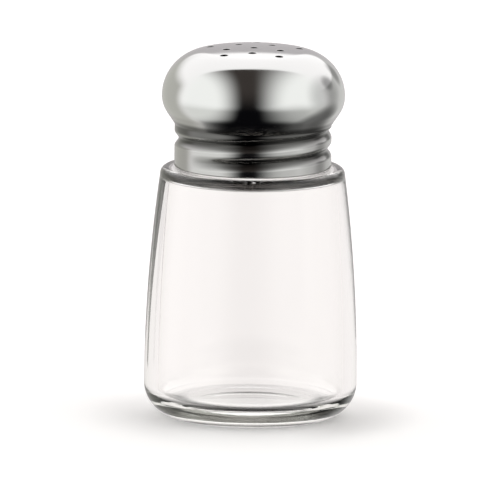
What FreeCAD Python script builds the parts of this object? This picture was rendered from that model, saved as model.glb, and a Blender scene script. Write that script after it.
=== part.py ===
import FreeCAD, Part
import math
import os

# Table shaker: a pressed-glass jar with a screwed-on mushroom cap drawn from one metal sheet.
# Millimetres. The origin is the centre of the foot on the table, and +Z is up.
# Profiles are drawn as (radius, height) and turned about Z.

# Neck of the jar
neck_radius = 15.2  # glass beside the thread bead
neck_wall = 1.9
neck_height = 7.6  # shoulder to rim
neck_fillet = 0.8  # where the neck meets the shoulder
rim_round = 0.8

# Body of the jar
shoulder_height = 55.8
shoulder_ledge = 3.1  # flat of the shoulder outside the skirt
shoulder_round = 1.5
body_flare = 3.1  # how much wider the belly is than the shoulder
heel_round = 7.5
foot_width = 2.2  # flat ring that stands on the table
punt_depth = 0.9  # hollow of the underside inside the foot ring

# Inside of the jar
shoulder_wall = 2.1  # glass under the shoulder
upper_wall = 1.8  # glass at the top of the body
belly_wall = 2.9
base_thickness = 4.6
floor_round = 2.5  # corner between wall and floor
throat_round = 1.6  # where the bore opens out under the shoulder
ceiling_round = 0.7  # corner between the underside of the shoulder and the wall

# Screw thread, right-handed
thread_pitch = 4.15
groove_width = 3.4
groove_depth = 0.9
groove_turns = 1.5
groove_start = -145.0  # degrees from +X to the groove's lower end
groove_rise = 2.5  # skirt edge to the groove's lower end
bead_width = 2.0
bead_height = 0.7
bead_turns = 1.1
bead_lead = 1.5  # the bead lies this far above the ridge that it holds
run_out = 0.12  # turns over which a thread fades at each end
plain_edge = 0.8  # height over which a threaded wall turns round again at its ends
thread_pass = 0.2  # radial gap between bead and ridge, so that the cap can lift straight off

# Cap
sheet = 0.4
seat_gap = 0.2  # skirt edge above the shoulder
skirt_height = 9.3  # skirt edge to the waist under the dome
waist_fillet = 0.8
dome_overhang = 2.9  # how far the dome stands out past the skirt
dome_flare = 34.0  # lean of the funnel under the dome, degrees from upright
dome_edge = 6.5  # radius of the rolled edge at the widest circle
dome_rise = 10.75  # widest circle to the crown
crown_radius = 105.0  # the nearly flat top

# Pouring holes: one in the middle and two staggered rings
hole_radius = 0.82
ring_holes = 5
inner_ring = 6.3
outer_ring = 10.4
hole_turn = -3.5  # degrees from the front to the nearest hole

# Worked out from the values above
bore_radius = neck_radius - neck_wall
skirt_radius = neck_radius + bead_height + thread_pass + groove_depth + sheet
shoulder_radius = skirt_radius + shoulder_ledge
belly_radius = shoulder_radius + body_flare
rim_height = shoulder_height + neck_height
skirt_bottom = shoulder_height + seat_gap
waist_height = skirt_bottom + skirt_height
dome_radius = skirt_radius + dome_overhang
loop_steps = 144  # spots on a level loop of a threaded wall
thread_steps = 8  # loops across the width of a thread
up = FreeCAD.Vector(0, 0, 1)
origin = FreeCAD.Vector(0, 0, 0)


def point(radius, height):
    return FreeCAD.Vector(radius, 0, height)


def round_point(radius, angle, height):
    turn = math.radians(angle)
    return FreeCAD.Vector(radius * math.cos(turn), radius * math.sin(turn), height)


def line(start, end):
    return Part.makeLine(point(*start), point(*end))


def arc(centre, radius, start_angle, end_angle):
    # Circular arc in a profile; angles in degrees up from the outward direction
    spots = []
    for angle in (start_angle, (start_angle + end_angle) / 2, end_angle):
        turn = math.radians(angle)
        spots.append(point(centre[0] + radius * math.cos(turn), centre[1] + radius * math.sin(turn)))
    return Part.Arc(*spots).toShape()


def bulge(low, high):
    # Arc that starts straight up at low and leans over to reach high
    across = low[0] - high[0]
    rise = high[1] - low[1]
    radius = (rise**2 + across**2) / (2 * across)
    lean = math.degrees(math.asin(rise / radius))
    return arc((low[0] - radius, low[1]), radius, 0, lean)


def turned(edges):
    # Faces of the surface that a run of profile edges sweeps about Z
    return Part.Wire(edges).revolve(origin, up, 360).Faces


def sewn(faces):
    # Solid inside faces that meet along their edges
    skin = Part.Compound(faces)
    skin.sewShape()
    solid = Part.Solid(skin.Shells[0])
    if solid.Volume < 0:
        solid.reverse()
    return solid


def jar_outside():
    # From the middle of the underside, out over the foot, up the flank to the foot of the neck
    foot_outer = belly_radius - heel_round
    foot_inner = foot_outer - foot_width
    punt_radius = (foot_inner**2 + punt_depth**2) / (2 * punt_depth)
    punt_lean = math.degrees(math.asin(foot_inner / punt_radius))
    shoulder_in = shoulder_radius - shoulder_round
    neck_out = neck_radius + neck_fillet
    return [
        arc((0, punt_depth - punt_radius), punt_radius, 90, 90 - punt_lean),
        line((foot_inner, 0), (foot_outer, 0)),
        arc((foot_outer, heel_round), heel_round, -90, 0),
        bulge((belly_radius, heel_round), (shoulder_radius, shoulder_height - shoulder_round)),
        arc((shoulder_in, shoulder_height - shoulder_round), shoulder_round, 0, 90),
        line((shoulder_in, shoulder_height), (neck_out, shoulder_height)),
        arc((neck_out, shoulder_height + neck_fillet), neck_fillet, -90, -180),
    ]


def jar_inside():
    # From the rim down the bore, out under the shoulder, down the wall and in over the floor
    wall_radius = belly_radius - belly_wall
    ceiling = shoulder_height - shoulder_wall
    corner = ceiling - ceiling_round
    corner_radius = shoulder_radius - upper_wall
    lip = rim_round / 2
    floor_top = base_thickness + floor_round
    return [
        arc((neck_radius - rim_round, rim_height - rim_round), rim_round, 0, 90),
        line((neck_radius - rim_round, rim_height), (bore_radius + lip, rim_height)),
        arc((bore_radius + lip, rim_height - lip), lip, 90, 180),
        line((bore_radius, rim_height - lip), (bore_radius, ceiling + throat_round)),
        arc((bore_radius + throat_round, ceiling + throat_round), throat_round, 180, 270),
        line((bore_radius + throat_round, ceiling), (corner_radius - ceiling_round, ceiling)),
        arc((corner_radius - ceiling_round, corner), ceiling_round, 90, 0),
        bulge((wall_radius, floor_top), (corner_radius, corner)),
        arc((wall_radius - floor_round, floor_top), floor_round, 0, -90),
        line((wall_radius - floor_round, base_thickness), (0, base_thickness)),
    ]


def dome_profile(inset):
    # From the waist up to the crown, moved inwards by inset
    lean = math.radians(dome_flare)
    across = dome_overhang - (waist_fillet + dome_edge) * (1 - math.cos(lean))
    funnel_low = waist_height + waist_fillet * math.sin(lean)
    funnel_high = funnel_low + across / math.tan(lean)
    widest = funnel_high + dome_edge * math.sin(lean)
    low_radius = skirt_radius + waist_fillet * (1 - math.cos(lean)) - inset * math.cos(lean)
    lift = inset * math.sin(lean)
    crown_centre = widest + dome_rise - crown_radius
    dome_side = (2 * crown_radius * dome_rise - dome_rise**2 - dome_radius**2) / (
        2 * (crown_radius - dome_radius)
    )
    side_centre = dome_radius - dome_side
    crown_meet = math.degrees(math.atan2(widest - crown_centre, side_centre))
    return [
        arc((skirt_radius + waist_fillet, waist_height), waist_fillet + inset, 180, 180 - dome_flare),
        line((low_radius, funnel_low + lift), (low_radius + across, funnel_high + lift)),
        arc((dome_radius - dome_edge, widest), dome_edge - inset, -dome_flare, 0),
        arc((side_centre, widest), dome_side - inset, 0, crown_meet),
        arc((0, crown_centre), crown_radius - inset, crown_meet, 90),
    ]


def smooth(share):
    # Rises gently from 0 to 1
    share = min(max(share, 0), 1)
    return share * share * (3 - 2 * share)


def swell(angle, height, width, start_angle, start_height, turns):
    # How far a thread stands out at a spot on its wall, as a share of its full size: across the
    # thread it follows a squared cosine, and it fades over the last run_out of each end
    total = 0
    for lap in range(math.ceil(turns)):
        wound = ((angle - start_angle) % 360) / 360 + lap
        across = (height - start_height - thread_pitch * wound) / width
        if wound < turns and abs(across) < 0.5:
            total += smooth(min(wound, turns - wound) / run_out) * math.cos(math.pi * across) ** 2
    return total


def threaded_wall(radius, low, high, size, width, start_angle, start_height, turns):
    # Round wall from low to high with a thread that stands out by size, or in where size is
    # negative: a skin over level loops that are true circles at both ends
    rows = math.ceil((high - low) / width * thread_steps)
    loops = []
    for row in range(rows + 1):
        height = low + (high - low) * row / rows
        plain = smooth(min(height - low, high - height) / plain_edge)
        spots = []
        for step in range(loop_steps):
            angle = 360 * step / loop_steps
            share = plain * swell(angle, height, width, start_angle, start_height, turns)
            spots.append(round_point(radius + size * share, angle, height))
        loop = Part.BSplineCurve()
        loop.interpolate(Points=spots, PeriodicFlag=True, Parameters=list(range(loop_steps + 1)))
        loops.append(Part.Wire(loop.toShape()))
    return Part.makeLoft(loops, False, False).Faces


def threaded_skirt(inset):
    # The threaded skirt of the cap, on a surface moved inwards by inset
    return threaded_wall(
        skirt_radius - inset,
        skirt_bottom,
        waist_height,
        -groove_depth,
        groove_width,
        groove_start,
        skirt_bottom + groove_rise,
        groove_turns,
    )


def threaded_neck():
    # The neck with its bead, one lead above the ridge inside the cap, ending where that ridge is
    turns_back = bead_turns - 0.5
    return threaded_wall(
        neck_radius,
        shoulder_height + neck_fillet,
        rim_height - rim_round,
        bead_height,
        bead_width,
        groove_start - 360 * turns_back,
        skirt_bottom + groove_rise + bead_lead - thread_pitch * turns_back,
        bead_turns,
    )


def pouring_holes():
    # Punches for the middle hole and the two staggered rings
    step = 360 / ring_holes
    spots = [origin]
    for ring, offset in ((inner_ring, 0), (outer_ring, step / 2)):
        for i in range(ring_holes):
            spots.append(round_point(ring, -90 + hole_turn + offset + step * i, 0))
    length = 2 * dome_radius  # from the waist to above the crown
    return [Part.makeCylinder(hole_radius, length, spot + up * waist_height) for spot in spots]


def glass_jar():
    return sewn(turned(jar_outside()) + threaded_neck() + turned(jar_inside()))


def shaker_cap():
    outside = turned(dome_profile(0)) + threaded_skirt(0)
    inside = turned(dome_profile(sheet)) + threaded_skirt(sheet)
    edge = turned([line((skirt_radius, skirt_bottom), (skirt_radius - sheet, skirt_bottom))])
    return sewn(outside + edge + inside).cut(pouring_holes())


parts = {
    "glass_jar": glass_jar(),
    "shaker_cap": shaker_cap(),
}

os.makedirs("parts", exist_ok=True)
for name, shape in parts.items():
    shape.exportStep(f"parts/{name}.step")
    box = shape.BoundBox
    print(name, len(shape.Solids), "solid", round(shape.Volume, 1), "mm3", round(box.ZMax, 2), "mm top")
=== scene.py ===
import math
import bmesh
import bpy
import numpy as np
from mathutils import Matrix, Vector, geometry


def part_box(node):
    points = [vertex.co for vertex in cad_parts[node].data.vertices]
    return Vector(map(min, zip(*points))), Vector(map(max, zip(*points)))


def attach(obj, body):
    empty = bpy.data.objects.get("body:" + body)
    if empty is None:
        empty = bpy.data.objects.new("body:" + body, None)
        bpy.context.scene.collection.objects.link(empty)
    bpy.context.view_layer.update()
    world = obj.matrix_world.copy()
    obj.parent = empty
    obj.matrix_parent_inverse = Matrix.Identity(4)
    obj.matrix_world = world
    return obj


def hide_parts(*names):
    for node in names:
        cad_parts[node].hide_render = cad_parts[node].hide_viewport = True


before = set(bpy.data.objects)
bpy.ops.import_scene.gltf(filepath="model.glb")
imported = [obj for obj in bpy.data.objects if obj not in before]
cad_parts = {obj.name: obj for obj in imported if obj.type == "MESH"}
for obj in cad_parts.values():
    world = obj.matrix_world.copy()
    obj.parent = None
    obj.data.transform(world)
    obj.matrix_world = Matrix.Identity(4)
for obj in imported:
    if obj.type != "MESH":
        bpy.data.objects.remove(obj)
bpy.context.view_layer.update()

mm = 0.001  # shapes are worked out in millimetres and the meshes are in metres
mergeDistance = 1e-7  # metres between vertices that are one
white = (1, 1, 1, 1)
black = (0, 0, 0, 1)
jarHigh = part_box("glass_jar")[1]
capLow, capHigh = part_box("shaker_cap")
bellyRadius = jarHigh.x / mm  # sizes that the solids give, in millimetres
rimHeight = jarHigh.z / mm
domeRadius = capHigh.x / mm
crownHeight = capHigh.z / mm
skirtLow = capLow.z / mm


def onCircle(angle):
    # (cosine, sine) of angles in degrees, one pair a row
    turn = np.radians(angle)
    return np.stack([np.cos(turn), np.sin(turn)], axis=-1)


def arcRun(centre, radius, startAngle, endAngle, count):
    # centre + radius times (cosine, sine) of evenly spaced angles in degrees
    return np.array(centre) + radius * onCircle(np.linspace(startAngle, endAngle, count))


def lineRun(start, end, count):
    # evenly spaced points from start to end
    share = np.linspace(0, 1, count)[:, None]
    return np.array(start) * (1 - share) + np.array(end) * share


def bulgeRun(low, high, count):
    # arc that starts straight up at low and leans inwards to reach high
    across = low[0] - high[0]
    rise = high[1] - low[1]
    radius = (rise**2 + across**2) / (2 * across)
    lean = math.degrees(math.asin(rise / radius))
    return arcRun((low[0] - radius, low[1]), radius, 0, lean, count)


def joinRuns(*runs):
    # one profile from runs that meet end to end, each meeting point kept once
    return np.concatenate([runs[0]] + [run[1:] for run in runs[1:]])


def easeIn(share):
    # rises from 0 to 1 with level ends: 3s^2 - 2s^3
    share = np.clip(share, 0, 1)
    return share * share * (3 - 2 * share)


def threadShare(angle, height, thread):
    # how far a helical thread stands out at (angle, height), from 0 to 1: a squared cosine across the
    # thread, about a centre line that climbs one pitch a turn, faded over the run-out at both ends
    total = np.zeros(np.broadcast(angle, height).shape)
    for lap in range(math.ceil(thread["turns"])):
        wound = ((angle - thread["start"]) % 360) / 360 + lap
        across = (height - thread["height"] - thread["pitch"] * wound) / thread["width"]
        fade = easeIn(np.minimum(wound, thread["turns"] - wound) / thread["runOut"])
        total += np.where(np.abs(across) < 0.5, fade * np.cos(np.pi * across) ** 2, 0)
    return total


def turnedGrid(profile, columns, relief):
    # x = r cos a, y = r sin a, where r is the profile's radius plus relief(a, z)
    angle = np.linspace(0, 360, columns, endpoint=False)[None, :]
    height = profile[:, 1][:, None]
    radius = profile[:, 0][:, None] + relief(angle, height)
    flat = radius[..., None] * onCircle(angle)
    return np.concatenate([flat, np.broadcast_to(height, radius.shape)[..., None]], axis=2)


def gridFaces(rows, columns, first=0):
    # quads between neighbouring rows, closed round the last column
    row, column = np.meshgrid(np.arange(rows - 1), np.arange(columns), indexing="ij")
    after = (column + 1) % columns
    here = first + row * columns
    above = here + columns
    corners = [here + column, here + after, above + after, above + column]
    return np.stack(corners, axis=2).reshape(-1, 4).tolist()


def fanFaces(ring, tip, flip):
    # triangles from a ring of vertices to one tip
    after = np.roll(ring, -1)
    first, second = (after, ring) if flip else (ring, after)
    return np.stack([first, second, np.full(len(ring), tip)], axis=1).tolist()


def makePiece(name, vertices, faces, marks, body, node, material):
    # a smooth mesh whose place is in its vertices; it stands for a CAD node and rides on that node's
    # body; marks are values from 0 to 1 at each vertex that its material reads
    mesh = bpy.data.meshes.new(name)
    mesh.from_pydata((np.array(vertices) * mm).tolist(), [], faces)
    mesh.update()
    for key, values in marks.items():
        attribute = mesh.attributes.new(key, "FLOAT", "POINT")
        attribute.data.foreach_set("value", values.astype(np.float32))
    work = bmesh.new()
    work.from_mesh(mesh)
    bmesh.ops.remove_doubles(work, verts=work.verts, dist=mergeDistance)
    bmesh.ops.recalc_face_normals(work, faces=work.faces)
    work.to_mesh(mesh)
    work.free()
    mesh.polygons.foreach_set("use_smooth", np.ones(len(mesh.polygons), bool))
    mesh.materials.append(material)
    piece = bpy.data.objects.new(name, mesh)
    bpy.context.scene.collection.objects.link(piece)
    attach(piece, body)
    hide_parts(node)
    print(name, len(mesh.polygons), "faces")


def addNode(tree, kind, inputs=None, **settings):
    # one shader node; inputs takes plain values or sockets to link
    node = tree.nodes.new(kind)
    for key, value in settings.items():
        setattr(node, key, value)
    for key, value in (inputs or {}).items():
        if isinstance(value, bpy.types.NodeSocket):
            tree.links.new(value, node.inputs[key])
        else:
            node.inputs[key].default_value = value
    return node


def mathNode(tree, operation, first, second=0.0, third=0.0):
    # one step of arithmetic
    node = addNode(tree, "ShaderNodeMath", {0: first, 1: second, 2: third}, operation=operation)
    return node.outputs[0]


def rampNode(tree, value, low, high):
    # 0 at low, 1 at high, smooth between
    return addNode(tree, "ShaderNodeMapRange", {
        "Value": value,
        "From Min": low,
        "From Max": high,
    }, interpolation_type="SMOOTHSTEP").outputs[0]


def blendNode(tree, share, first, second, kind="MIX"):
    # the first colour where share is 0, and with the second laid over it where share is 1; the
    # node's inputs 6 and 7 and its output 2 are its colours
    inputs = {0: share, 6: first, 7: second}
    return addNode(tree, "ShaderNodeMix", inputs, data_type="RGBA", blend_type=kind).outputs[2]


def markNode(tree, name):
    # a mark that the piece's vertices carry
    return addNode(tree, "ShaderNodeAttribute", attribute_name=name).outputs["Fac"]


def newMaterial(name):
    material = bpy.data.materials.new(name)
    material.use_nodes = True
    tree = material.node_tree
    return material, tree, tree.nodes["Principled BSDF"]


def wanderGroup():
    # how far a made surface wanders from its true shape: noise in stretched space, times a height
    group = bpy.data.node_groups.new("surfaceWander", "ShaderNodeTree")
    kinds = {
        "Vector": "NodeSocketVector",
        "Stretch": "NodeSocketVector",
        "Scale": "NodeSocketFloat",
        "Detail": "NodeSocketFloat",
        "Height": "NodeSocketFloat",
    }
    for name, kind in kinds.items():
        group.interface.new_socket(name=name, in_out="INPUT", socket_type=kind)
    group.interface.new_socket(name="Height", in_out="OUTPUT", socket_type=kinds["Height"])
    given = addNode(group, "NodeGroupInput").outputs
    stretched = addNode(group, "ShaderNodeMapping", {
        "Vector": given["Vector"],
        "Scale": given["Stretch"],
    }).outputs[0]
    noise = addNode(group, "ShaderNodeTexNoise", {
        "Vector": stretched,
        "Scale": given["Scale"],
        "Detail": given["Detail"],
    }).outputs["Fac"]
    addNode(group, "NodeGroupOutput", {"Height": mathNode(group, "MULTIPLY", noise, given["Height"])})
    return group


surfaceWander = wanderGroup()
evenly = (1, 1, 1)


def wander(tree, vector, size, height, stretch=evenly, detail=1.0):
    # one use of the group: so many waves a metre, of a height in metres
    return addNode(tree, "ShaderNodeGroup", {
        "Vector": vector,
        "Stretch": stretch,
        "Scale": size,
        "Detail": detail,
        "Height": height,
    }, node_tree=surfaceWander).outputs["Height"]


def bumpSurface(tree, shader, first, second):
    # bumps the surface by the sum of two heights in metres
    height = mathNode(tree, "ADD", first, second)
    bump = addNode(tree, "ShaderNodeBump", {"Height": height, "Strength": 1.0, "Distance": 1.0})
    tree.links.new(bump.outputs[0], shader.inputs["Normal"])


glassLook = {
    "ior": 1.5,
    "tint": (0.995, 0.995, 0.99, 1),
    "shoulderShade": (0.12, 0.108, 0.10, 1),  # painted shade on the outer edge of the shoulder
    "roughness": 0.0,
    "waveSize": 70.0,  # slow waves of the pressed surface, so many a metre
    "waveHeight": 0.00001,
    "waveStretch": (1, 1, 0.5),
    "streakSize": 420.0,  # fine flow lines down the sides
    "streakHeight": 0.000004,
    "streakStretch": (1, 1, 0.08),
    "streakDetail": 2.0,
    "depthColour": (0.80, 0.80, 0.755, 1),
    "depthDensity": 14.0,  # a metre
}


def glassMaterial(look):
    material, tree, shader = newMaterial("pressedGlass")
    place = addNode(tree, "ShaderNodeTexCoord").outputs["Object"]
    waves = wander(tree, place, look["waveSize"], look["waveHeight"], look["waveStretch"])
    streaks = wander(tree, place, look["streakSize"], look["streakHeight"], look["streakStretch"],
                     look["streakDetail"])
    bumpSurface(tree, shader, waves, streaks)
    # the shoulder mark lays painted shade over the glass's tint
    tint = blendNode(tree, markNode(tree, "shoulder"), look["tint"], look["shoulderShade"])
    tree.links.new(tint, shader.inputs["Base Color"])
    shader.inputs["Roughness"].default_value = look["roughness"]
    shader.inputs["IOR"].default_value = look["ior"]
    shader.inputs["Transmission Weight"].default_value = 1.0
    depth = addNode(tree, "ShaderNodeVolumeAbsorption", {
        "Color": look["depthColour"],
        "Density": look["depthDensity"],
    })
    tree.links.new(depth.outputs[0], tree.nodes["Material Output"].inputs["Volume"])
    return material


steelLook = {
    "colour": (0.60, 0.60, 0.595, 1),
    "roughness": 0.09,
    "smudge": 0.05,  # how much the roughness wanders
    "smudgeSize": 120.0,
    "smudgeDetail": 3.0,
    "smudgeRange": (0.3, 0.7),  # the values of the noise that give the least and the most
    "ringSize": 9000.0,  # polishing rings round the axis, so many a metre
    "ringHeight": 0.0000004,
    "peelSize": 110.0,  # the slow waves of the drawn sheet
    "peelHeight": 0.000006,
    "rolledColour": (0.48, 0.475, 0.47, 1),  # the skirt and the funnel: darker as painted shade, and also polished less
    "rolledRoughness": 0.05,  # how much rougher they are
    "pressedColour": (0.07, 0.068, 0.066, 1),  # painted shade down in the thread and at the waist
    "liningColour": (0.04, 0.038, 0.036, 1),  # the unpolished inside
    "punchedColour": (0.012, 0.011, 0.01, 1),  # the cut edges of the holes
    "dullRoughness": 0.45,  # of the inside and the cut edges
}


def steelMaterial(look):
    material, tree, shader = newMaterial("polishedSteel")
    place = addNode(tree, "ShaderNodeTexCoord").outputs["Object"]
    smudges = addNode(tree, "ShaderNodeTexNoise", {
        "Vector": place,
        "Scale": look["smudgeSize"],
        "Detail": look["smudgeDetail"],
    })
    least, most = look["smudgeRange"]
    polished = addNode(tree, "ShaderNodeMapRange", {
        "Value": smudges.outputs["Fac"],
        "From Min": least,
        "From Max": most,
        "To Min": look["roughness"] - look["smudge"] / 2,
        "To Max": look["roughness"] + look["smudge"] / 2,
    }).outputs[0]
    x, y, z = addNode(tree, "ShaderNodeSeparateXYZ", {"Vector": place}).outputs
    square = mathNode(tree, "MULTIPLY_ADD", y, y, mathNode(tree, "MULTIPLY", x, x))
    rings = addNode(tree, "ShaderNodeCombineXYZ", {"X": mathNode(tree, "SQRT", square), "Z": z})
    lines = wander(tree, rings.outputs[0], look["ringSize"], look["ringHeight"])
    peel = wander(tree, place, look["peelSize"], look["peelHeight"])
    bumpSurface(tree, shader, lines, peel)
    # the rolled and pressed marks lay painted shade on the steel: a darker skirt and funnel, and a
    # darker thread valley and waist
    marks = {name: markNode(tree, name) for name in ("rolled", "pressed", "lining", "punched")}
    colour = look["colour"]
    for name, mark in marks.items():
        colour = blendNode(tree, mark, colour, look[name + "Colour"])
    tree.links.new(colour, shader.inputs["Base Color"])
    worked = mathNode(tree, "MULTIPLY_ADD", marks["rolled"], look["rolledRoughness"], polished)
    dull = mathNode(tree, "MAXIMUM", marks["punched"], marks["lining"])
    toDull = mathNode(tree, "SUBTRACT", look["dullRoughness"], worked)
    roughness = mathNode(tree, "MULTIPLY_ADD", dull, toDull, worked)
    tree.links.new(roughness, shader.inputs["Roughness"])
    shader.inputs["Metallic"].default_value = 1.0
    return material


jar = {  # millimetres
    "columns": 224,
    "neckRadius": 15.2,
    "neckWall": 1.9,
    "neckHeight": 7.6,
    "neckFillet": 0.8,
    "rimRound": 0.8,
    "shoulderRadius": 20.5,
    "shoulderRound": 1.5,
    "heelRound": 7.5,
    "footWidth": 2.2,
    "puntDepth": 0.9,  # hollow of the underside inside the foot ring
    "shoulderWall": 2.1,
    "upperWall": 1.8,
    "bellyWall": 2.9,
    "baseThickness": 4.6,
    "floorRound": 2.5,
    "throatRound": 1.6,
    "ceilingRound": 0.7,
    "beadHeight": 0.7,
    "plainEdge": 0.8,  # height over which the neck turns round again above and below the bead
    "shadeBandDepths": (2.3, 0.15),  # below the shoulder, between which its outer edge gets painted shade
    "shadeBandFades": (0.5, 0.3),  # heights over which that starts and ends
    "shadeBandWidth": 1.3,  # how far in from the shoulder's edge it goes
    "slack": 0.001,  # lengths that differ by less are the same
}


def jarFlank(jar):
    # (radius, height) up the outside from the heel to where the shoulder turns in
    shoulderTurn = rimHeight - jar["neckHeight"] - jar["shoulderRound"]
    return bulgeRun((bellyRadius, jar["heelRound"]), (jar["shoulderRadius"], shoulderTurn), 60)


def jarProfile(jar):
    # (radius, height) from the middle of the underside, up the outside, over the rim and down the
    # inside to the middle of the floor, all straight runs and arcs that meet smoothly; the last
    # number of each run is how many points it has
    shoulderHeight = rimHeight - jar["neckHeight"]
    footOuter = bellyRadius - jar["heelRound"]
    footInner = footOuter - jar["footWidth"]
    puntRadius = (footInner**2 + jar["puntDepth"] ** 2) / (2 * jar["puntDepth"])
    puntLean = math.degrees(math.asin(footInner / puntRadius))
    shoulderIn = jar["shoulderRadius"] - jar["shoulderRound"]
    shoulderTurn = shoulderHeight - jar["shoulderRound"]
    neckOut = jar["neckRadius"] + jar["neckFillet"]
    neckLow = shoulderHeight + jar["neckFillet"]
    rimTurn = rimHeight - jar["rimRound"]
    outside = joinRuns(
        arcRun((0, jar["puntDepth"] - puntRadius), puntRadius, 90, 90 - puntLean, 24),
        lineRun((footInner, 0), (footOuter, 0), 5),
        arcRun((footOuter, jar["heelRound"]), jar["heelRound"], -90, 0, 40),
        jarFlank(jar),
        arcRun((shoulderIn, shoulderTurn), jar["shoulderRound"], 0, 90, 14),
        lineRun((shoulderIn, shoulderHeight), (neckOut, shoulderHeight), 6),
        arcRun((neckOut, neckLow), jar["neckFillet"], 270, 180, 10),
        lineRun((jar["neckRadius"], neckLow), (jar["neckRadius"], rimTurn), 40),
        arcRun((jar["neckRadius"] - jar["rimRound"], rimTurn), jar["rimRound"], 0, 90, 12),
    )
    boreRadius = jar["neckRadius"] - jar["neckWall"]
    lip = jar["rimRound"] / 2
    ceiling = shoulderHeight - jar["shoulderWall"]
    throat = jar["throatRound"]
    corner = jar["ceilingRound"]
    cornerRadius = jar["shoulderRadius"] - jar["upperWall"]
    wallRadius = bellyRadius - jar["bellyWall"]
    floorRound = jar["floorRound"]
    floorTop = jar["baseThickness"] + floorRound
    inside = joinRuns(
        lineRun((jar["neckRadius"] - jar["rimRound"], rimHeight), (boreRadius + lip, rimHeight), 3),
        arcRun((boreRadius + lip, rimHeight - lip), lip, 90, 180, 8),
        lineRun((boreRadius, rimHeight - lip), (boreRadius, ceiling + throat), 12),
        arcRun((boreRadius + throat, ceiling + throat), throat, 180, 270, 12),
        lineRun((boreRadius + throat, ceiling), (cornerRadius - corner, ceiling), 3),
        arcRun((cornerRadius - corner, ceiling - corner), corner, 90, 0, 24),
        bulgeRun((wallRadius, floorTop), (cornerRadius, ceiling - corner), 60)[::-1],
        arcRun((wallRadius - floorRound, floorTop), floorRound, 0, -90, 40),
        lineRun((wallRadius - floorRound, jar["baseThickness"]), (0, jar["baseThickness"]), 24),
    )
    return joinRuns(outside, inside)


def buildJar(jar, bead, material):
    shoulderHeight = rimHeight - jar["neckHeight"]
    profile = jarProfile(jar)
    tips = np.column_stack([np.zeros((2, 2)), profile[[0, -1], 1]])
    profile = profile[1:-1]
    neckLow = shoulderHeight + jar["neckFillet"]
    neckTop = rimHeight - jar["rimRound"]
    onNeck = (np.abs(profile[:, 0] - jar["neckRadius"]) < jar["slack"])[:, None]

    def relief(angle, height):
        # the bead on the outside of the neck
        plain = easeIn(np.minimum(height - neckLow, neckTop - height) / jar["plainEdge"])
        return np.where(onNeck, jar["beadHeight"] * plain * threadShare(angle, height, bead), 0)

    columns = jar["columns"]
    grid = turnedGrid(profile, columns, relief)
    vertices = np.concatenate([grid.reshape(-1, 3), tips])
    count = len(profile) * columns
    ring = np.arange(columns)
    faces = gridFaces(len(profile), columns)
    faces += fanFaces(ring, count, True)
    faces += fanFaces(ring + count - columns, count + 1, False)
    # where the glass gets painted shade: its outer edge just below the shoulder
    radius = np.linalg.norm(vertices[:, :2], axis=1)
    low, top = [shoulderHeight - depth for depth in jar["shadeBandDepths"]]
    lowFade, topFade = jar["shadeBandFades"]
    outside = radius > jar["shoulderRadius"] - jar["shadeBandWidth"]
    above = easeIn((vertices[:, 2] - low) / lowFade)
    below = easeIn((top - vertices[:, 2]) / topFade)
    marks = {"shoulder": outside * above * below}
    makePiece("pressed_glass_jar", vertices, faces, marks, "jar", "glass_jar", material)


cap = {  # millimetres and degrees
    "columns": 224,
    "sheet": 0.4,
    "skirtRadius": 17.4,
    "skirtHeight": 9.3,
    "waistFillet": 0.8,
    "domeFlare": 34.0,  # lean of the funnel under the dome, from upright
    "domeEdge": 6.5,  # radius of the rolled edge at the widest circle
    "domeRise": 10.75,
    "crownRadius": 105.0,
    "grooveDepth": 0.9,
    "plainEdge": 0.8,  # height over which the skirt turns round again at its ends
    "rolledFade": 1.2,  # height over which the polish of the dome gives way to the rolled finish, which is rougher and darker with painted shade
    "waistShadeBand": (1.8, 1.9),  # how far below and above the waist the metal gets painted shade
    "waistShade": 0.85,
    "plateRadius": 12.4,  # the part of the crown that holds the pouring holes
    "plateSpacing": 0.34,  # of the points between the holes
    "plateFill": 1.2,  # how many are tried, in squares of the plate's radius over their spacing
    "plateTight": 0.95,  # how much closer together the spiral sets them
    "plateMargin": 0.7,  # spacings that they keep from the plate's edge
    "holeRadius": 0.82,
    "holeLip": 0.16,  # rounding of a hole's edge
    "holeSteps": 40,
    "holeRings": (0.0, 0.05, 0.2, 0.45, 0.75, 1.0, 1.8, 3.2),  # lips out to each ring of points
    "holeClear": 4.4,  # lips that the other points keep from the edge
    "lipPlain": 0.3,  # the outer share of the lip that keeps the polish
    "ringHoles": 5,
    "rings": ((6.3, 0.0), (10.4, 0.5)),  # radius, and turn as a share of the holes' spacing
    "holeTurn": -3.5,  # from the front to the nearest hole
    "slack": 0.001,  # lengths that differ by less are the same
}
groove = {  # rolled into the skirt, right-handed
    "turns": 1.5,
    "start": -145.0,  # degrees from +X to its lower end
    "height": skirtLow + 2.5,  # of its lower end, above the skirt's edge
    "pitch": 4.15,
    "width": 3.4,
    "runOut": 0.12,  # turns over which it fades at each end
}
bead = dict(groove, turns=1.1, width=2.0)  # on the neck
beadLead = 1.5  # how far it lies above the ridge that the groove makes inside the cap
turnsBack = bead["turns"] - 0.5  # it ends half a turn round from the groove's lower end
bead["start"] -= 360 * turnsBack
bead["height"] += beadLead - bead["pitch"] * turnsBack


def domeArcs(cap, inset):
    # (centre, radius, start angle, end angle) of the four arcs from the waist up to the crown; a
    # straight funnel joins the first to the second
    waistHeight = skirtLow + cap["skirtHeight"]
    flare, waist, edge = cap["domeFlare"], cap["waistFillet"], cap["domeEdge"]
    rise, crown = cap["domeRise"], cap["crownRadius"]
    widest = crownHeight - rise
    crownCentre = crownHeight - crown
    side = (2 * crown * rise - rise**2 - domeRadius**2) / (2 * (crown - domeRadius))
    crownMeet = math.degrees(math.atan2(widest - crownCentre, domeRadius - side))
    return [
        ((cap["skirtRadius"] + waist, waistHeight), waist + inset, 180, 180 - flare),
        ((domeRadius - edge, widest), edge - inset, -flare, 0),
        ((domeRadius - side, widest), side - inset, 0, crownMeet),
        ((0, crownCentre), crown - inset, crownMeet, 90),
    ]


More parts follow.
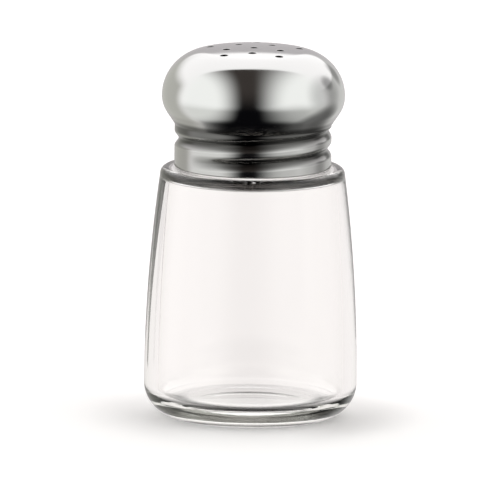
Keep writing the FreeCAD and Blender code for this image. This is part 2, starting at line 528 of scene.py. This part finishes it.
def plateHeight(cap, inset, radius):
    # height of the crown at a distance from the axis: the flat top's sphere, and past its edge the
    # rounder arc of the dome's side
    _, _, (sideCentre, side, _, _), (crownCentre, crown, crownMeet, _) = domeArcs(cap, inset)
    top = crownCentre[1] + np.sqrt(crown**2 - radius**2)
    flank = sideCentre[1] + np.sqrt(np.maximum(side**2 - (radius - sideCentre[0]) ** 2, 0))
    return np.where(radius < crown * math.cos(math.radians(crownMeet)), top, flank)


def wallProfile(cap, inset):
    # (radius, height) from the plate's edge down the dome, the waist and the skirt to its edge; the
    # last number of each run is how many points it has
    waist, rolled, side, _ = domeArcs(cap, inset)
    plateAngle = math.degrees(math.acos((cap["plateRadius"] - side[0][0]) / side[1]))
    skirt = cap["skirtRadius"] - inset
    low = skirtLow + cap["sheet"] / 2
    edge = arcRun(rolled[0], rolled[1], rolled[3], rolled[2], 24)
    bend = arcRun(waist[0], waist[1], waist[3], waist[2], 12)
    return joinRuns(
        arcRun(side[0], side[1], plateAngle, side[2], 56),
        edge,
        lineRun(edge[-1], bend[0], 12),
        bend,
        lineRun((skirt, waist[0][1]), (skirt, low), 80),
    )


def holeCentres(cap):
    # the middle hole, then each ring's holes evenly spaced from the front
    spacing = 360 / cap["ringHoles"]
    front = cap["holeTurn"] - 90
    spots = [np.zeros((1, 2))]
    for ring, offset in cap["rings"]:
        spots.append(ring * onCircle(front + spacing * (offset + np.arange(cap["ringHoles"]))))
    return np.concatenate(spots)


def holeRim(cap):
    # points of a hole's edge about its centre, as (x, y)
    return onCircle(np.linspace(0, 360, cap["holeSteps"], endpoint=False))


def toNearest(points, centres):
    # distance from each point to the nearest centre
    return np.linalg.norm(points[:, None] - centres[None], axis=2).min(axis=1)


def plateLayout(cap, centres):
    # points of the plate seen from above: its edge, rings round each hole, and between them a
    # sunflower spiral, whose radius grows as the square root of the count while each point turns on
    # by the golden angle; then the triangles between the points, none of them inside a hole
    plate, hole, lip = cap["plateRadius"], cap["holeRadius"], cap["holeLip"]
    points = [plate * onCircle(np.linspace(0, 360, cap["columns"], endpoint=False))]
    for centre in centres:
        for out in cap["holeRings"]:
            points.append(centre + (hole + lip * out) * holeRim(cap))
    spacing = cap["plateSpacing"]
    count = np.arange(int((plate / spacing) ** 2 * cap["plateFill"]))
    far = np.sqrt(count) * spacing * cap["plateTight"]
    golden = 180 * (3 - math.sqrt(5))
    spiral = far[:, None] * onCircle(golden * count)
    clear = toNearest(spiral, centres) > hole + lip * cap["holeClear"]
    points.append(spiral[clear & (far < plate - spacing * cap["plateMargin"])])
    corners = [Vector(point) for point in np.concatenate(points).tolist()]
    flat, _, triangles = geometry.delaunay_2d_cdt(corners, [], [], 0, 1e-9)[:3]
    flat = np.array([list(point) for point in flat])
    triangles = np.array(triangles)
    inHole = toNearest(flat[triangles].mean(axis=1), centres) < hole - cap["slack"]
    return flat, triangles[~inHole]


def buildCap(cap, groove, material):
    columns, sheet = cap["columns"], cap["sheet"]
    waistHeight = skirtLow + cap["skirtHeight"]

    def grooveShare(angle, height):
        # how deep the groove is, from 0 to 1; it is 0 at both ends of the skirt and past them
        plain = easeIn(np.minimum(height - skirtLow, waistHeight - height) / cap["plainEdge"])
        return plain * threadShare(angle, height, groove)

    def relief(angle, height):
        return -cap["grooveDepth"] * grooveShare(angle, height)

    # the wall: down the outside, round the skirt's edge and up the inside
    outer = wallProfile(cap, 0)
    inner = wallProfile(cap, sheet)
    edge = arcRun((cap["skirtRadius"] - sheet / 2, skirtLow + sheet / 2), sheet / 2, 0, -180, 9)
    profile = joinRuns(outer, edge, inner[::-1])
    wall = turnedGrid(profile, columns, relief)
    faces = gridFaces(len(profile), columns)

    # the plate: its top, which sinks into the holes in a quarter circle, and its underside
    centres = holeCentres(cap)
    flat, triangles = plateLayout(cap, centres)
    inside = np.clip(1 - (toNearest(flat, centres) - cap["holeRadius"]) / cap["holeLip"], 0, 1)
    drop = cap["holeLip"] * (1 - np.sqrt(1 - inside**2))
    radius = np.linalg.norm(flat, axis=1)
    top = np.column_stack([flat, plateHeight(cap, 0, radius) - drop])
    under = np.column_stack([flat, plateHeight(cap, sheet, radius)])
    firstTop = len(profile) * columns
    firstUnder = firstTop + len(flat)
    firstRing = firstUnder + len(flat)
    faces += (triangles + firstTop).tolist()
    faces += (triangles[:, ::-1] + firstUnder).tolist()

    # the walls of the holes
    vertices = [wall.reshape(-1, 3), top, under]
    for hole, centre in enumerate(centres):
        ring = centre + cap["holeRadius"] * holeRim(cap)
        reach = np.linalg.norm(ring, axis=1)
        vertices.append(np.column_stack([ring, plateHeight(cap, 0, reach) - cap["holeLip"]]))
        vertices.append(np.column_stack([ring, plateHeight(cap, sheet, reach)]))
        faces += gridFaces(2, cap["holeSteps"], firstRing + hole * 2 * cap["holeSteps"])
    vertices = np.concatenate(vertices)

    # what the metal looks like at each vertex
    angle = np.degrees(np.arctan2(vertices[:, 1], vertices[:, 0]))
    height = vertices[:, 2]
    punched = np.zeros(len(vertices))
    punched[firstTop:firstUnder] = easeIn((1 + cap["lipPlain"]) * inside - cap["lipPlain"])
    punched[firstRing:] = 1
    lining = np.zeros(len(vertices))
    lining[(len(outer) + len(edge)) * columns:firstTop] = 1
    lining[firstUnder:] = 1
    (_, widest), edgeRadius, lean, _ = domeArcs(cap, 0)[1]
    funnelTop = widest + edgeRadius * math.sin(math.radians(lean))
    # rolled: the metal below the dome's rolled edge, rougher, and darker with painted shade
    rolled = easeIn((funnelTop - height) / cap["rolledFade"] + 0.5)
    # pressed: painted shade down in the thread valley, and at the waist under the dome
    beneath, above = cap["waistShadeBand"]
    nearWaist = easeIn(height - waistHeight + beneath) * easeIn(waistHeight + above - height)
    pressed = np.maximum(np.sqrt(grooveShare(angle, height)), cap["waistShade"] * nearWaist * rolled)
    marks = {"punched": punched, "lining": lining, "rolled": rolled, "pressed": pressed}
    makePiece("domed_metal_cap", vertices, faces, marks, "cap", "shaker_cap", material)


glass = glassMaterial(glassLook)
steel = steelMaterial(steelLook)
print("materials made")
buildJar(jar, bead, glass)
buildCap(cap, groove, steel)


studio = {  # x, y and z are those of a unit vector that points away from the object
    "tent": (1.42, 1.44, 1.41, 1),  # light cloth on both sides
    "overhead": (1.50, 1.48, 1.48, 1),  # the same behind
    "overheadBack": (-0.1, 0.5),  # y over which the one becomes the other
    "table": (0.74, 0.74, 0.73, 1),  # what is left of that below the edge of the table
    "tableEdge": (0.0, -0.36),  # z over which that begins
    "low": (0.60, 0.575, 0.585, 1),  # the cloth behind, near the floor
    "lowLeft": (0.66, 0.66, 0.61, 1),  # the same on the left
    "lowRight": (0.80, 0.80, 0.78, 1),
    "lowSides": 0.5,  # x, to either side, where it is that of the side alone
    "lowTop": (0.30, 0.25),  # z of its upper edge, sharp behind
    "lowTopLeft": (0.50, 0.20),  # and soft on the left
    "lowFront": (0.12, 0.48),  # y over which it begins
    "under": (0.01, 0.01, 0.01, 1),  # what is left of the light from straight below
    "underEdge": (-0.74, -0.96),  # z over which it fades to that
    "slit": (0.062, 0.053, 0.048, 1),  # dark gap in the cloth, from below over the front to the top
    "slitLow": (0.004, 0.004, 0.005, 1),  # the same below the edge of the table
    "slitFade": (0.75, -0.3),  # z over which the one becomes the other
    "slitLeft": (-0.76, -0.21),  # x where it starts and is darkest, from the left
    "slitRight": (0.72, -0.02),  # the same from the right
    "slitBack": (0.255, 0.175),  # y over which it ends past the zenith
    "slitSpread": 0.12,  # how much wider it is below the edge of the table, on the right
    "slitSpreadLeft": 0.5,  # and the share of that on the left
    "slitSpreadEdge": (0.0, -0.35),  # z over which it widens
    "frontInGlass": (0.75, 0.74, 0.73, 1),  # what is left of the light in front, seen through the glass
    "frontEdge": (0.2, -0.2),  # y over which that begins
    "backdrop": (1.06, 1.045, 1.035, 1),  # what the camera sees behind
}
shades = [  # darker places in the cloth, and how much light is left there
    {"azimuth": 118, "elevation": -38, "inner": 4, "outer": 34, "left": 0.2},
    {"azimuth": 106, "elevation": 5, "inner": 6, "outer": 38, "left": 0.62},
    {"azimuth": 121, "elevation": 19, "inner": 2, "outer": 13, "left": 0.5},
    {"azimuth": 151, "elevation": 11, "inner": 2, "outer": 12, "left": 0.5},
    {"azimuth": 50, "elevation": -42, "inner": 10, "outer": 50, "left": 0.62},
]


def faceTowards(azimuth, elevation):
    # unit vector from the object; azimuth 0 is the front and positive is to the right
    side, front = math.sin(math.radians(azimuth)), math.cos(math.radians(azimuth))
    level, up = math.cos(math.radians(elevation)), math.sin(math.radians(elevation))
    return (side * level, -front * level, up)


def patchNode(tree, way, patch):
    # 1 within the inner angle of a direction, 0 outside the outer one
    towards = faceTowards(patch["azimuth"], patch["elevation"])
    inputs = {0: way, 1: towards}
    facing = addNode(tree, "ShaderNodeVectorMath", inputs, operation="DOT_PRODUCT").outputs["Value"]
    outer, inner = [math.cos(math.radians(patch[edge])) for edge in ("outer", "inner")]
    return rampNode(tree, facing, outer, inner)


def dimNode(tree, share, light, left):
    # the light, and where share is 1 only what is left of it
    return blendNode(tree, share, light, blendNode(tree, 1.0, light, left, "MULTIPLY"))


def productNode(tree, *factors):
    # all the factors multiplied
    product = factors[0]
    for factor in factors[1:]:
        product = mathNode(tree, "MULTIPLY", product, factor)
    return product


def restNode(tree, share):
    # 1 less the share
    return mathNode(tree, "SUBTRACT", 1.0, share)


def addStage(name, corners, material):
    # a flat sheet that isn't part of the object
    mesh = bpy.data.meshes.new(name)
    mesh.from_pydata(corners, [], [tuple(range(len(corners)))])
    mesh.materials.append(material)
    sheet = bpy.data.objects.new(name, mesh)
    bpy.context.scene.collection.objects.link(sheet)
    return sheet


def buildWorld(studio, shades):
    # the surroundings, as a colour for each direction
    world = bpy.data.worlds.new("studioLight")
    bpy.context.scene.world = world
    world.use_nodes = True
    tree = world.node_tree
    place = addNode(tree, "ShaderNodeTexCoord").outputs["Generated"]
    way = addNode(tree, "ShaderNodeVectorMath", {0: place}, operation="NORMALIZE").outputs[0]
    x, y, z = addNode(tree, "ShaderNodeSeparateXYZ", {0: way}).outputs

    # the cloth, the table's edge and the cloth near the floor
    back = rampNode(tree, y, *studio["overheadBack"])
    light = blendNode(tree, back, studio["tent"], studio["overhead"])
    light = dimNode(tree, rampNode(tree, z, *studio["tableEdge"]), light, studio["table"])
    left = rampNode(tree, x, 0.0, -studio["lowSides"])
    right = rampNode(tree, x, 0.0, studio["lowSides"])
    lowColour = blendNode(tree, left, studio["low"], studio["lowLeft"])
    lowColour = blendNode(tree, right, lowColour, studio["lowRight"])
    sharp = rampNode(tree, z, *studio["lowTop"])
    soft = rampNode(tree, z, *studio["lowTopLeft"])
    below = mathNode(tree, "MULTIPLY_ADD", left, mathNode(tree, "SUBTRACT", soft, sharp), sharp)
    low = productNode(tree, below, rampNode(tree, y, *studio["lowFront"]))
    light = blendNode(tree, low, light, lowColour)
    for shade in shades:
        light = dimNode(tree, patchNode(tree, way, shade), light, (shade["left"],) * 3 + (1,))
    light = dimNode(tree, rampNode(tree, z, *studio["underEdge"]), light, studio["under"])

    # the dark gap
    spread = productNode(tree, rampNode(tree, z, *studio["slitSpreadEdge"]), studio["slitSpread"])
    leftX = mathNode(tree, "MULTIPLY_ADD", spread, studio["slitSpreadLeft"], x)
    rightX = mathNode(tree, "SUBTRACT", x, spread)
    slit = productNode(
        tree,
        rampNode(tree, leftX, *studio["slitLeft"]),
        rampNode(tree, rightX, *studio["slitRight"]),
        rampNode(tree, y, *studio["slitBack"]),
    )
    dark = blendNode(tree, rampNode(tree, z, *studio["slitFade"]), studio["slit"], studio["slitLow"])
    light = blendNode(tree, slit, light, dark)

    # what the glass and the camera see instead
    path = addNode(tree, "ShaderNodeLightPath").outputs
    front = productNode(tree, path["Is Transmission Ray"], rampNode(tree, y, *studio["frontEdge"]))
    light = dimNode(tree, front, light, studio["frontInGlass"])
    light = blendNode(tree, path["Is Camera Ray"], light, studio["backdrop"])
    tree.links.new(light, tree.nodes["Background"].inputs["Color"])


floor = {  # metres
    "size": 6.0,
    "colour": (0.965, 0.945, 0.942, 1),
    "glow": 0.23,  # what it adds for the camera
    "sideShadowFade": (0.041, 0.026),  # distances from the axis over which the glow dims beside the jar, a painted shadow
    "sideShadowStart": (0.008, 0.022),  # how far out to a side that painted shadow begins
    "sideShadowRight": 0.68,  # the share of the glow that the painted shadow takes there
    "sideShadowLeft": 0.36,
    "inGlass": (0.99, 0.95, 0.945, 1),  # how it looks through the glass
    "shadowRingStart": (0.0130, 0.0165),  # distances over which a painted shadow ring under the jar starts there
    "shadowRingEnd": (0.026, 0.018),
    "shadowRingBack": (0.008, -0.004),  # y over which the painted shadow ring begins, towards the front
    "front": (0.0, -0.03),  # y over which the floor dims there, towards the front
    "frontDim": 0.25,  # by how much
}


def buildFloor(floor):
    # the camera sees a lit floor with a glow, which dims beside the jar as a painted shadow; rays from
    # the glass see a glow alone, with a painted shadow ring under the jar
    material, tree, shader = newMaterial("paleFloor")
    shader.inputs["Roughness"].default_value = 1.0
    shader.inputs["Specular IOR Level"].default_value = 0.0
    path = addNode(tree, "ShaderNodeLightPath").outputs
    throughGlass = path["Is Transmission Ray"]
    colour = blendNode(tree, throughGlass, floor["colour"], black)
    tree.links.new(colour, shader.inputs["Base Color"])
    glowColour = blendNode(tree, throughGlass, white, floor["inGlass"])
    tree.links.new(glowColour, shader.inputs["Emission Color"])
    place = addNode(tree, "ShaderNodeNewGeometry").outputs["Position"]
    x, y, _ = addNode(tree, "ShaderNodeSeparateXYZ", {0: place}).outputs
    away = addNode(tree, "ShaderNodeVectorMath", {0: place}, operation="LENGTH").outputs["Value"]
    # a painted shadow ring under the jar, in the glow that the glass sees
    ring = productNode(
        tree,
        rampNode(tree, away, *floor["shadowRingStart"]),
        rampNode(tree, away, *floor["shadowRingEnd"]),
        rampNode(tree, y, *floor["shadowRingBack"]),
    )
    front = productNode(tree, rampNode(tree, y, *floor["front"]), floor["frontDim"])
    inGlass = productNode(tree, throughGlass, restNode(tree, ring), restNode(tree, front))
    # a painted shadow beside the jar: the camera's glow dims there, more on the right
    start, full = floor["sideShadowStart"]
    right = productNode(tree, rampNode(tree, x, start, full), floor["sideShadowRight"])
    left = productNode(tree, rampNode(tree, x, -start, -full), floor["sideShadowLeft"])
    sides = mathNode(tree, "ADD", left, right)
    beside = productNode(tree, rampNode(tree, away, *floor["sideShadowFade"]), sides)
    glow = productNode(tree, restNode(tree, beside), floor["glow"])
    glow = mathNode(tree, "MULTIPLY_ADD", path["Is Camera Ray"], glow, inGlass)
    tree.links.new(glow, shader.inputs["Emission Strength"])
    half = floor["size"] / 2
    corners = [(-half, -half, 0), (half, -half, 0), (half, half, 0), (-half, half, 0)]
    sheet = addStage("floor", corners, material)
    sheet.visible_glossy = False


card = {  # millimetres
    "colour": (0.01, 0.01, 0.01, 1),
    "outer": ((-23.2, 54), (-23.6, 43), (-24.0, 10)),  # (x, z) of its corners away from the jar
    "inner": (12, 54),  # heights between which it follows the jar's flank
    "steps": 7,  # points on that edge
    "gap": 0.03,  # left between them
    "back": 0.7,  # its y
}


def buildCard(card, jar):
    # a dark card beside the jar that only the glass sees, and that draws its left edge
    material, _, shader = newMaterial("darkCard")
    shader.inputs["Base Color"].default_value = card["colour"]
    shader.inputs["Specular IOR Level"].default_value = 0.0
    radius, height = jarFlank(jar).T
    heights = np.linspace(*card["inner"], card["steps"])
    inner = np.column_stack([-np.interp(heights, height, radius) - card["gap"], heights])
    outline = list(card["outer"]) + inner.tolist()
    corners = [(x * mm, card["back"] * mm, z * mm) for x, z in outline]
    sheet = addStage("card", corners, material)
    sheet.visible_camera = False
    sheet.visible_diffuse = False
    sheet.visible_glossy = False
    sheet.visible_shadow = False


camera = {  # metres and degrees
    "distance": 5.0,
    "elevation": 9.8,
    "width": 0.1109,  # what the frame spans at the object
    "aim": (-0.00038, 0, 0.03707),
    "roll": 0.65,
    "sensor": 36.0,  # millimetres
    "near": 0.01,
    "far": 50.0,
}


def buildCamera(camera):
    data = bpy.data.cameras.new("camera")
    data.sensor_width = camera["sensor"]
    data.lens = camera["sensor"] * camera["distance"] / camera["width"]
    data.clip_start = camera["near"]
    data.clip_end = camera["far"]
    holder = bpy.data.objects.new("camera", data)
    bpy.context.scene.collection.objects.link(holder)
    back = Vector(faceTowards(0, camera["elevation"]))
    roll = Matrix.Rotation(math.radians(camera["roll"]), 4, "Z")
    place = Matrix.Translation(Vector(camera["aim"]) + back * camera["distance"])
    holder.matrix_world = place @ (-back).to_track_quat("-Z", "Y").to_matrix().to_4x4() @ roll
    bpy.context.scene.camera = holder


buildWorld(studio, shades)
buildFloor(floor)
buildCard(card, jar)
buildCamera(camera)
bpy.context.scene.view_settings.view_transform = "Standard"
cycles = bpy.context.scene.cycles
cycles.max_bounces = 40  # the glass of the heel reflects light within it many times
cycles.glossy_bounces = 16
cycles.transmission_bounces = 40
print("studio made")
